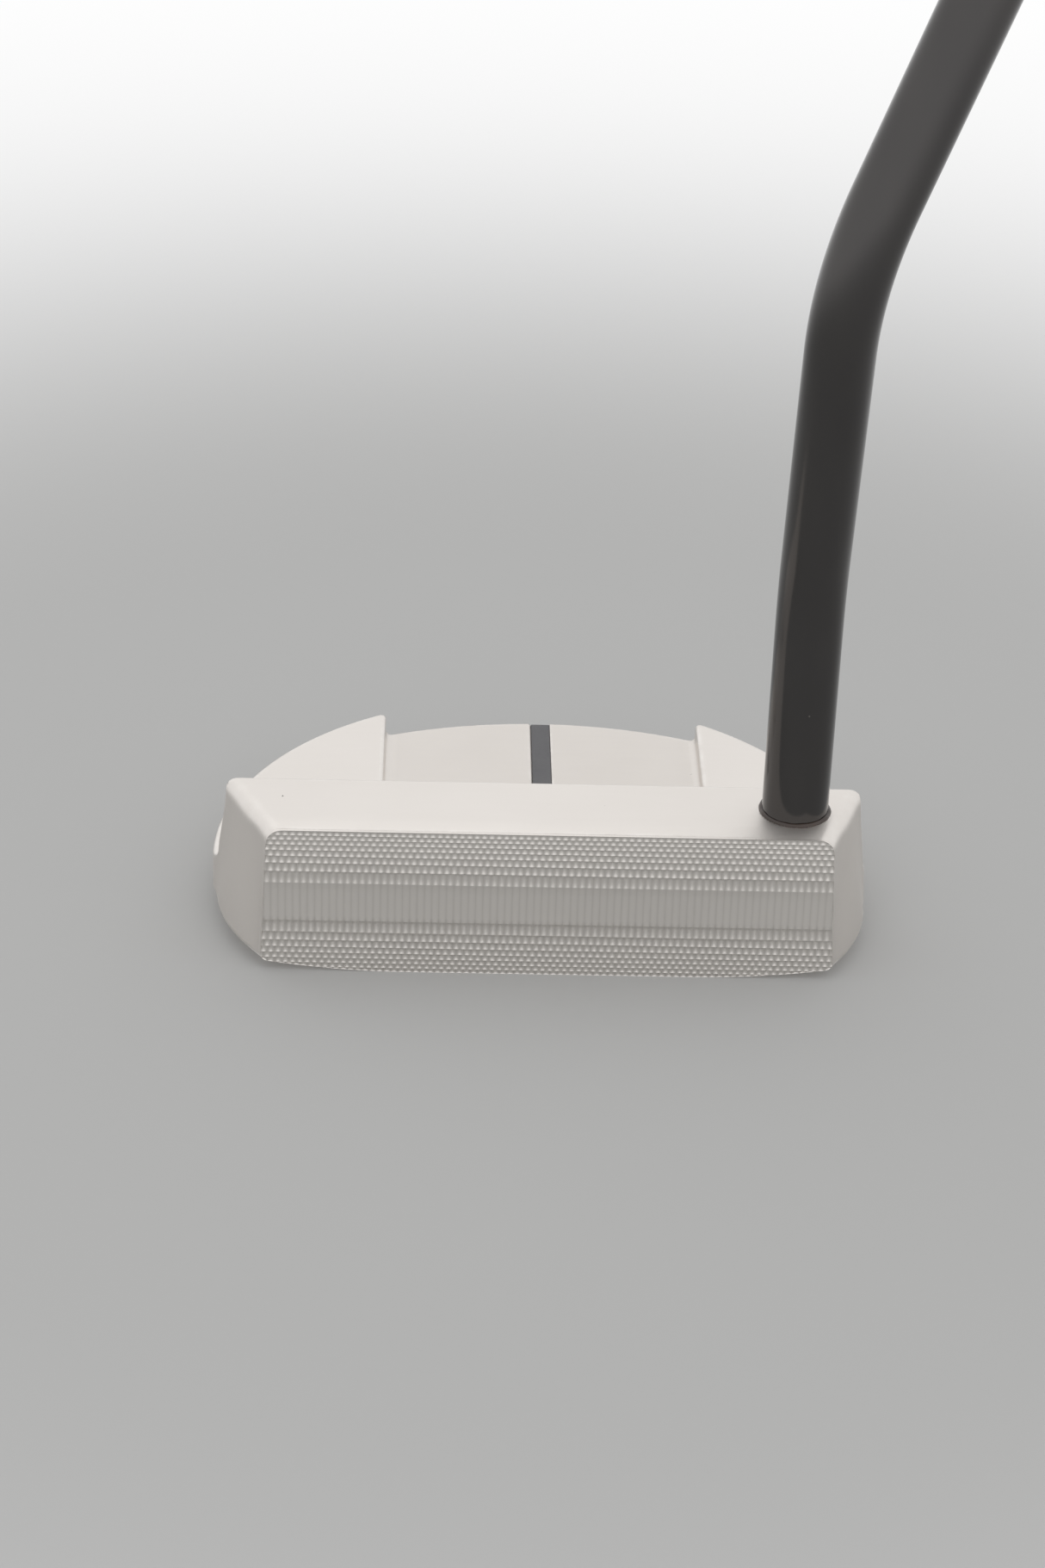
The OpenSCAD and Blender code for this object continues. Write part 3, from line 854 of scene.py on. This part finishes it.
def ringFaces(rings, sides, closed=False):  # quads between rings, capped or closed on themselves
    faces = []
    for ring in range(rings if closed else rings - 1):
        low, high = ring * sides, (ring + 1) % rings * sides
        for side in range(sides):
            turn = (side + 1) % sides
            faces.append((low + side, low + turn, high + turn, high + side))
    if not closed:
        faces.append(tuple(range(sides))[::-1])
        faces.append(tuple(range((rings - 1) * sides, rings * sides)))
    return faces


beadForm = dict(width=0.45, out=0.92, up=0.9, upSwell=0.6, inset=0.05, sides=96, ringSteps=10,
                firstAngle=-0.35, lastAngle=math.pi / 2 + 0.25,
                seed=4, waves=(2, 3, 5, 9, 14), waveSize=(0.02, 0.07), wavePhase=(0, 6))


def buildBead():  # the adhesive squeezed out round the shaft's foot
    form, x, y = beadForm, shaftForm["x"], shaftForm["y"]
    draw = np.random.default_rng(form["seed"])
    turn = fullTurn(form["sides"])
    swell = sum(draw.uniform(*form["waveSize"]) * np.sin(wave * turn + draw.uniform(*form["wavePhase"]))
                for wave in form["waves"])
    rings = []
    for angle in np.linspace(form["firstAngle"], form["lastAngle"], form["ringSteps"]):
        radius = shaftForm["tipRadius"] + form["width"] * (form["out"] + swell) * math.cos(angle)
        height = form["width"] * (form["up"] + form["upSwell"] * swell) * math.sin(angle)
        rings.append(ringAt(x, y, headForm["barHeight"] + height, radius, turn))
    for height in (rings[-1][0, 2], rings[0][0, 2]):
        rings.append(ringAt(x, y, height, shaftForm["tipRadius"] - form["inset"], turn))
    faces = ringFaces(len(rings), form["sides"], closed=True)
    epoxy = makePlain("bondEpoxy", light=(0.014, 0.012, 0.011), dark=(0.07, 0.046, 0.036),
                      roughness=(0.08, 0.3), grainScale=1500.0, bumpDepth=0.00004)
    addPiece("bondBead", np.concatenate(rings), faces, epoxy, "shaft_bond")
    print("bead:", len(faces), "faces")


buildBead()


def buildWeight(name, side, body, node, material):
    form = weightForm
    turn = fullTurn(form["sides"])
    sixth = math.pi / 3
    hexagon = form["socketFlats"] / 2 / np.cos((turn + sixth / 2) % sixth - sixth / 2)
    low, top, radius, boss = form["low"], form["top"], form["radius"], form["bossRadius"]
    flangeTop = low + form["flange"]
    levels = [(share * hexagon, low + up) for share, up in form["socketProfile"]]
    levels.append((form["faceRing"], low))
    levels += [(radius - inset, low + up) for inset, up in form["lowEdge"]]
    levels += [(radius - inset, flangeTop - down) for inset, down in form["flangeEdge"]]
    levels.append((boss - form["threadDepth"] + form["neck"], flangeTop))
    threadStep = form["pitch"] / form["threadSteps"]
    for height in np.arange(flangeTop + form["neck"], top - form["threadEnd"], threadStep):
        phase = (height / form["pitch"] - turn / (2 * math.pi)) % 1
        levels.append((boss - form["threadDepth"] * np.abs(2 * phase - 1), height))
    levels += [(boss - inset, top - down) for inset, down in form["topEdge"]]
    rings = [ringAt(side * form["x"], form["y"], height, ring, turn) for ring, height in levels]
    faces = ringFaces(len(rings), form["sides"])
    piece = addPiece(name, np.concatenate(rings), faces, material, node, body)
    piece.data.set_sharp_from_angle(angle=form["sharp"])
    print(name, len(faces), "faces")


turnedSteel = makeTurned(weightForm["x"], weightForm["y"])
buildWeight("toeWeight", -1, "toe_weight", "toe_weight", turnedSteel)
buildWeight("heelWeight", 1, "heel_weight", "heel_weight", turnedSteel)


# the grip, a tapered body with a palm swell and a thumb flat

gripForm = dict(
    length=267.0, cap=3.0, lowRadius=10.0, mouth=10.0, mouthRadius=9.0, buttRadius=13.0,
    flat=9.2, flatEdge=2.4, swellShift=4.0, swellLength=150.0, swellRise=0.62, swellStart=8.0,
    swellRadius=11.5, swellBlend=2.5,
    edge=1.95, edgeSteps=7, skin=0.02, bore=7.65, mouthEdge=(0.3, 0.4), capRadius=8.77, capEdge=(0.1, 0.2),
    rings=150, sides=120, sharp=math.radians(50), searchFrom=3.0, searchTo=20.0, searchRounds=34,
    padLength=3.3, padWidth=1.6, padHeight=0.15, padTop=0.62, padPitch=3.8, padRows=11,
    padFrom=28.0, padTo=244.0, padStart=math.radians(48), padStep=math.radians(9), padTurn=0.01)
acrossWay = np.array([upperWay[2], 0, -upperWay[0]])  # away from the thumb flat
sideWay = np.array([0, 1.0, 0])
gripFoot = upperStart + upperWay * (upperLength - gripForm["length"])
gripTop = gripForm["length"] + gripForm["cap"]


def gripOutline(x, y, z):  # the grip's section at a height above its mouth
    form = gripForm
    body = np.interp(z, [0, form["mouth"], gripTop],
                     [form["mouthRadius"], form["lowRadius"], form["buttRadius"]])
    share = np.clip((z - gripTop + form["swellLength"]) / (form["swellRise"] * form["swellLength"]), 0, 1)
    swell = form["swellStart"] + (form["swellRadius"] - form["swellStart"]) * eased(share)
    palm = np.hypot(x - form["swellShift"], y) - swell
    shape = softMin(np.hypot(x, y) - body, palm, form["swellBlend"])
    near = np.maximum(form["edge"] - np.minimum(z, gripTop - z), 0)
    shape += form["edge"] - np.sqrt(np.maximum(form["edge"] ** 2 - near ** 2, 0))
    return roundMax(shape, -x - form["flat"], form["flatEdge"]) + form["padHeight"] + form["skin"]


def gripRadius(turn, z):  # distance from the shaft's axis to the section's edge, found by halving
    form = gripForm
    low = np.full(np.broadcast(turn, z).shape, form["searchFrom"])
    high = np.full_like(low, form["searchTo"])
    for _ in range(form["searchRounds"]):
        middle = (low + high) / 2
        inside = gripOutline(middle * np.cos(turn), middle * np.sin(turn), z) < 0
        low = np.where(inside, middle, low)
        high = np.where(inside, high, middle)
    return low


def gripPoint(radius, turn, z):
    flat = np.stack(np.broadcast_arrays(radius * np.cos(turn), radius * np.sin(turn), z), -1)
    return gripFoot + flat @ np.stack([acrossWay, sideWay, upperWay])


def makePadTree():
    tree, given, result = newShapeTree(
        "gripPads", points="NodeSocketGeometry", length=1.0, width=1.0, height=1.0, top=gripForm["padTop"],
        along=(0.0, 0.0, 1.0), material="NodeSocketMaterial")
    pad = addNode(tree, "GeometryNodeMeshCone", {
        "Vertices": 4, "Radius Top": given["Top"], "Radius Bottom": 1.0, "Depth": 1.0}).outputs["Mesh"]
    outward = addNode(tree, "GeometryNodeInputNamedAttribute", {"Name": "outward"}, data_type="FLOAT_VECTOR")
    stand = addNode(tree, "FunctionNodeAlignRotationToVector", {"Vector": outward.outputs[0]}, axis="Z")
    turned = addNode(tree, "FunctionNodeAlignRotationToVector", {
        "Rotation": stand.outputs[0], "Vector": given["Along"]}, axis="X", pivot_axis="Z").outputs[0]
    size = addNode(tree, "ShaderNodeCombineXYZ", {0: given["Length"], 1: given["Width"], 2: given["Height"]})
    pads = addNode(tree, "GeometryNodeInstanceOnPoints", {
        "Points": given["Points"], "Instance": pad, "Rotation": turned, "Scale": size.outputs[0]}).outputs[0]
    return finishTree(tree, pads, given["Material"], result)


def padSpots():  # staggered rows on both flanks, with the way that each pad faces
    form = gripForm
    spots, ways = [], []
    heights = np.arange(form["padFrom"], form["padTo"], form["padPitch"])
    for side in (-1, 1):
        for row in range(form["padRows"]):
            turn = side * (form["padStart"] + row * form["padStep"])
            ahead = turn + form["padTurn"]
            z = heights + (row % 2) * form["padPitch"] / 2
            spot = gripPoint(gripRadius(turn, z), turn, z)
            way = np.cross(gripPoint(gripRadius(ahead, z), ahead, z) - spot, upperWay)
            spots.append(spot)
            ways.append(way / np.linalg.norm(way, axis=1, keepdims=True))
    return np.concatenate(spots), np.concatenate(ways)


def buildGrip():
    form = gripForm
    turn = fullTurn(form["sides"])
    quarter = np.linspace(0, 1, form["edgeSteps"]) * math.pi / 2
    heights = np.concatenate([form["edge"] * (1 - np.cos(quarter)),
                              np.linspace(form["edge"], gripTop - form["edge"], form["rings"])[1:-1],
                              gripTop - form["edge"] * (1 - np.sin(quarter))])
    rings = [gripPoint(gripRadius(turn, np.full_like(turn, z)), turn, z) for z in heights]
    flare, flareTop = form["mouthEdge"]
    widening, capEdgeDepth = form["capEdge"]
    inner = ((form["capRadius"] + widening, gripTop - form["skin"]),
             (form["capRadius"], gripTop - capEdgeDepth), (form["capRadius"], form["length"]),
             (form["bore"], form["length"]), (form["bore"], flareTop), (form["bore"] + flare, 0.0))
    rings += [gripPoint(radius, turn, z) for radius, z in inner]
    faces = ringFaces(len(rings), form["sides"], closed=True)
    rubber = makePlain("gripRubber", light=(0.018, 0.018, 0.019), dark=(0.028, 0.027, 0.027),
                       roughness=(0.5, 0.72), grainScale=2400.0, bumpDepth=0.00006, specular=0.35)
    grip = addPiece("gripBody", np.concatenate(rings), faces, rubber, "grip")
    grip.data.set_sharp_from_angle(angle=form["sharp"])
    spots, ways = padSpots()
    holder = addObject("padSpots", bpy.data.meshes.new("padSpots"))
    holder.data.from_pydata((spots * mm).tolist(), [], [])
    holder.data.attributes.new("outward", "FLOAT_VECTOR", "POINT").data.foreach_set("vector", ways.ravel())
    mesh = runTree(
        makePadTree(), holder, length=form["padLength"] / 2 * mm, width=form["padWidth"] / 2 * mm,
        height=2 * form["padHeight"] * mm, top=form["padTop"], along=tuple(upperWay), material=rubber)
    dress(addObject("gripPads", mesh, rubber))
    print("grip:", len(faces), "faces and", len(spots), "pads")


buildGrip()


capForm = dict(
    gap=0.02, vent=1.0, ventEdge=(0.4, 0.3), dish=0.35, dishInset=1.9, sides=72, sharp=math.radians(35),
    rimProfile=((0.0, 0.45), (0.15, 0.1), (0.5, 0.0), (1.6, 0.0)))  # inset, depth below the top


def buildCap():
    form = capForm
    turn = fullTurn(form["sides"])
    radius = gripForm["capRadius"] - form["gap"]
    low = gripForm["length"] + form["gap"]
    top = gripTop
    floor = top - form["dish"]
    opening, slant = form["ventEdge"]
    levels = [(radius, low), *((radius - inset, top - down) for inset, down in form["rimProfile"]),
              (radius - form["dishInset"], floor), (form["vent"] + opening, floor),
              (form["vent"], floor - slant), (form["vent"], low)]
    rings = [gripPoint(ring, turn, height) for ring, height in levels]
    faces = ringFaces(len(rings), form["sides"], closed=True)
    plastic = makePlain("capPlastic", light=(0.028, 0.028, 0.03), dark=(0.04, 0.04, 0.042),
                        roughness=(0.35, 0.5), grainScale=1800.0, bumpDepth=0.00003)
    cap = addPiece("gripCap", np.concatenate(rings), faces, plastic, "grip_cap")
    cap.data.set_sharp_from_angle(angle=form["sharp"])
    print("cap:", len(faces), "faces")


buildCap()


# pieces inside the club keep their own solids

def coat(material, *names):
    for name in names:
        mesh = nodes[name].data
        mesh.materials.clear()
        mesh.materials.append(material)


coat(makePlain("sealRubber", light=(0.018, 0.018, 0.019), dark=(0.03, 0.03, 0.03),
               roughness=(0.45, 0.65), grainScale=3000.0, bumpDepth=0.00003),
     "toe_weight_seal", "heel_weight_seal")
coat(makePlain("plugPlastic", light=(0.6, 0.56, 0.46), dark=(0.52, 0.48, 0.39),
               roughness=(0.4, 0.55), grainScale=1500.0, bumpDepth=0.00003), "tip_plug")
coat(makePlain("tapePaper", light=(0.72, 0.68, 0.55), dark=(0.64, 0.6, 0.47),
               roughness=(0.7, 0.9), grainScale=2000.0, bumpDepth=0.00005), "grip_tape")
print("inner pieces coated")


# floor, light and camera

stageForm = dict(
    size=16.0, drop=0.00002, near=(0.47, 0.47, 0.465), far=(0.86, 0.86, 0.86), white=(1.0, 1.0, 1.0),
    underSole=(0.6, 0.6, 0.6), roughness=0.9, specular=0.1,
    nearTo=0.11, farFrom=0.4, whiteFrom=0.15, whiteTo=0.5, soleRadii=(46.6, 45.4), soleY=-4.0,
    worldLight=0.92, lampSize=2.6, lampPlace=(-0.6, 1.2, 2.6), lampPower=4.4)


def fadeBetween(tree, value, low, high):
    return addNode(tree, "ShaderNodeMapRange", {"Value": value, "From Min": low, "From Max": high},
                   interpolation_type="SMOOTHSTEP").outputs[0]


def seenBy(tree, rays):  # what the camera sees, straight or in metal and glass
    mirrored = calc(tree, "MAXIMUM", rays["Is Glossy Ray"], rays["Is Transmission Ray"])
    return calc(tree, "MAXIMUM", rays["Is Camera Ray"], mirrored)


def mixShader(tree, share, first, second):
    return addNode(tree, "ShaderNodeMixShader", {0: share, 1: first, 2: second}).outputs[0]


def buildFloor():
    form = stageForm
    half = form["size"] / 2
    mesh = bpy.data.meshes.new("floor")
    corners = ((-half, -half), (half, -half), (half, half), (-half, half))
    mesh.from_pydata([(x, y, -form["drop"]) for x, y in corners], [], [(0, 1, 2, 3)])
    material, tree, sockets = newMaterial("paleFloor", form["near"], form["roughness"],
                                          specular=form["specular"])
    shader = tree.nodes["Principled BSDF"].outputs[0]
    place = objectPlace(tree)
    away = lengthOf(tree, place)
    paler = fadeBetween(tree, away, form["nearTo"], form["farFrom"])
    tree.links.new(mixColour(tree, paler, form["near"], form["far"]), sockets["Base Color"])
    rays = addNode(tree, "ShaderNodeLightPath").outputs
    white = addNode(tree, "ShaderNodeEmission", {"Color": (*form["white"], 1), "Strength": 1.0}).outputs[0]
    fade = fadeBetween(tree, away, form["whiteFrom"], form["whiteTo"])
    faded = mixShader(tree, calc(tree, "MULTIPLY", fade, seenBy(tree, rays)), shader, white)
    # the floor is clear from below, and lets light reach the sole
    backfacing = addNode(tree, "ShaderNodeNewGeometry").outputs["Backfacing"]
    below = calc(tree, "MULTIPLY", backfacing, rays["Is Camera Ray"])
    radiusX, radiusY = form["soleRadii"]
    oval = addNode(tree, "ShaderNodeMapping", {
        "Vector": place, "Location": (0.0, -form["soleY"] / radiusY, 0.0),
        "Scale": (1 / (radiusX * mm), 1 / (radiusY * mm), 1.0)}).outputs[0]
    within = calc(tree, "LESS_THAN", lengthOf(tree, oval), 1.0)
    along = addNode(tree, "ShaderNodeSeparateXYZ", {0: place}).outputs["Y"]
    within = calc(tree, "MULTIPLY", within, calc(tree, "GREATER_THAN", along, frontY * mm))
    under = calc(tree, "MULTIPLY", within, calc(tree, "SUBTRACT", 1.0, rays["Is Camera Ray"]))
    clear = addNode(tree, "ShaderNodeBsdfTransparent", {
        "Color": mixColour(tree, under, form["white"], form["underSole"])}).outputs[0]
    shown = mixShader(tree, calc(tree, "MAXIMUM", below, under), faded, clear)
    tree.links.new(shown, tree.nodes["Material Output"].inputs["Surface"])
    addObject("floor", mesh, material)


def buildLight():
    form = stageForm
    world = bpy.data.worlds.new("studio")
    bpy.context.scene.world = world
    world.use_nodes = True
    tree = world.node_tree
    sky = tree.nodes["Background"].inputs
    sky["Color"].default_value = (*form["white"], 1)
    rays = addNode(tree, "ShaderNodeLightPath").outputs
    tree.links.new(spread(tree, seenBy(tree, rays), form["worldLight"], 1.0), sky["Strength"])
    lamp = bpy.data.lights.new("overhead", "AREA")
    lamp.shape = "SQUARE"
    lamp.size = form["lampSize"]
    lamp.energy = form["lampPower"]
    holder = bpy.data.objects.new("overhead", lamp)
    holder.location = form["lampPlace"]
    holder.rotation_euler = (-Vector(form["lampPlace"])).to_track_quat("-Z", "Y").to_euler()
    bpy.context.scene.collection.objects.link(holder)


cameraForm = dict(
    place=(-16.8, -440.0, 270.4), pitch=math.radians(29.83), yaw=math.radians(1.72), roll=math.radians(1.97),
    focalPixels=4050.0, frameHeight=1821.0, sensor=36.0, clipStart=0.01, clipEnd=20.0)


def buildCamera():
    form = cameraForm
    level = math.cos(form["pitch"])
    ahead = Vector((math.sin(form["yaw"]) * level, math.cos(form["yaw"]) * level, -math.sin(form["pitch"])))
    right = Vector((math.cos(form["yaw"]), -math.sin(form["yaw"]), 0))
    up = right.cross(ahead)
    rolled = right * math.cos(form["roll"]) + up * math.sin(form["roll"])
    upright = up * math.cos(form["roll"]) - right * math.sin(form["roll"])
    camera = bpy.data.objects.new("camera", bpy.data.cameras.new("camera"))
    camera.data.sensor_width = form["sensor"]
    camera.data.lens = form["sensor"] * form["focalPixels"] / form["frameHeight"]
    camera.data.clip_start = form["clipStart"]
    camera.data.clip_end = form["clipEnd"]
    camera.matrix_world = Matrix((rolled, upright, -ahead)).transposed().to_4x4()
    camera.location = Vector(form["place"]) * mm
    bpy.context.scene.collection.objects.link(camera)
    bpy.context.scene.camera = camera


buildFloor()
buildLight()
buildCamera()
bpy.context.scene.view_settings.view_transform = "Standard"
print("stage ready")
